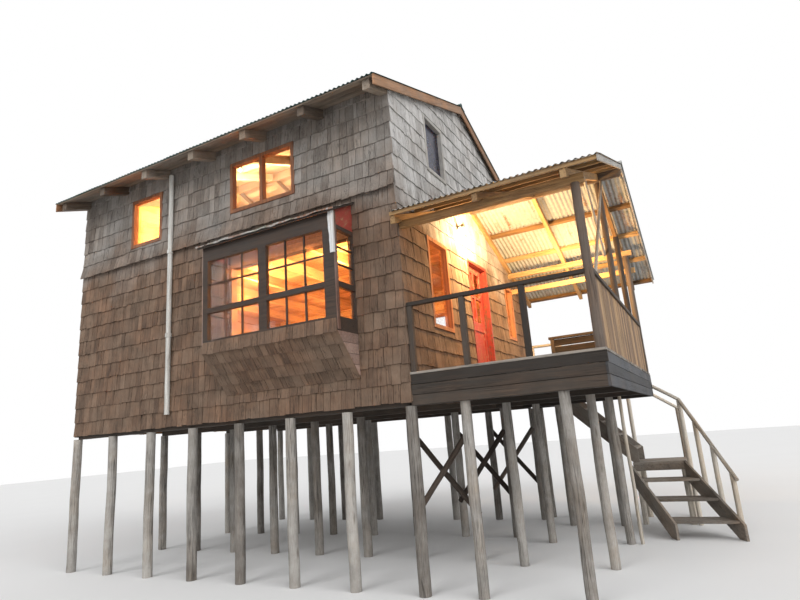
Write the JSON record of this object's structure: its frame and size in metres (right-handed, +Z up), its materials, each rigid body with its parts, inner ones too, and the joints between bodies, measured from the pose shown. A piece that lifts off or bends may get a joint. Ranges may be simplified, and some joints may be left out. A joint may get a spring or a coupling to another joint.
{
  "type": "stilt house",
  "caption": "Two-storey shingled timber house on log stilts, with a bay window, a roofed porch, a hinged door and an outside stair.",
  "frame": {"origin": "on level ground, plumb below the corner of the porch gable and the bay window's wall, on the foot of the corner stilt", "axes": "+X out through the porch, along the house; +Y from the bay window's wall to the far wall; +Z up"},
  "size_m": [10.4111, 6.893, 7.8919],
  "materials": {
    "wall_shingle": "weathered shingles, silver grey with brown",
    "inner_board": "warm planed boards",
    "roof_timber": "sawn timber, aged",
    "verge_timber": "orange brown boards",
    "dark_timber": "dark weathered timber",
    "stilt_log": "peeled logs, weathered",
    "deck_board": "worn deck boards",
    "pale_board": "light brown upright boards",
    "porch_timber": "sawn light timber",
    "bay_timber": "dark brown stained timber",
    "frame_timber": "reddish brown stained timber",
    "red_paint": "worn red paint on timber",
    "stair_timber": "weathered planks",
    "rail_log": "pale peeled poles",
    "painted_iron": "dark green blue corrugated iron, worn",
    "bare_iron": "galvanised corrugated iron with moss and rust",
    "pale_pipe": "pale grey pipe",
    "window_glass": "clear panes",
    "handle_brass": "worn brass"
  },
  "bodies": {
    "house": {"near_wall": "wall_shingle", "far_wall": "wall_shingle", "rear_wall": "wall_shingle", "gable_wall_near": "wall_shingle", "gable_wall_far": "wall_shingle", "gable_wall_upper": "wall_shingle", "gable_skirt": "wall_shingle", "floor_joists": "dark_timber", "ground_floor": "inner_board", "upper_joists": "inner_board", "upper_floor": "inner_board", "roof_rafters": "roof_timber", "ridge_boards": "roof_timber", "roof_boards": "roof_timber", "main_roof_near": "painted_iron", "main_roof_far": "painted_iron", "ridge_caps": "painted_iron", "verge_boards": "verge_timber", "bearers": "dark_timber", "house_stilts": "stilt_log", "deck_stilts": "stilt_log", "stilt_braces": "stilt_log", "deck_floor": "deck_board", "deck_rim_boards": "dark_timber", "rail_posts": "dark_timber", "hand_rails": "dark_timber", "outer_rail_boards": "pale_board", "far_rail_boards": "dark_timber", "porch_posts": "stilt_log", "porch_beams": "porch_timber", "porch_rafters": "porch_timber", "porch_purlins": "porch_timber", "porch_roof_near": "bare_iron", "porch_roof_far": "bare_iron", "bay_frame": "bay_timber", "bay_base": "wall_shingle", "bay_roof": "roof_timber", "bay_end_panels": "red_paint", "bay_glass": "window_glass", "window_frames": "frame_timber", "window_glass": "window_glass", "door_frame": "red_paint", "stair_stringers": "stair_timber", "stair_treads": "stair_timber", "stair_posts": "stilt_log", "stair_rails": "rail_log", "downpipe": "pale_pipe"},
    "door": {"door_leaf": "red_paint", "door_glass": "window_glass", "door_handle": "handle_brass"}
  },
  "joints": [
    {"name": "door_swing", "type": "hinge", "parent": "house", "child": "door", "pos_m": [-0.133, 3.3715, 3.7], "axis": [0, 0, -1], "range_deg": [0, 95]}
  ]
}
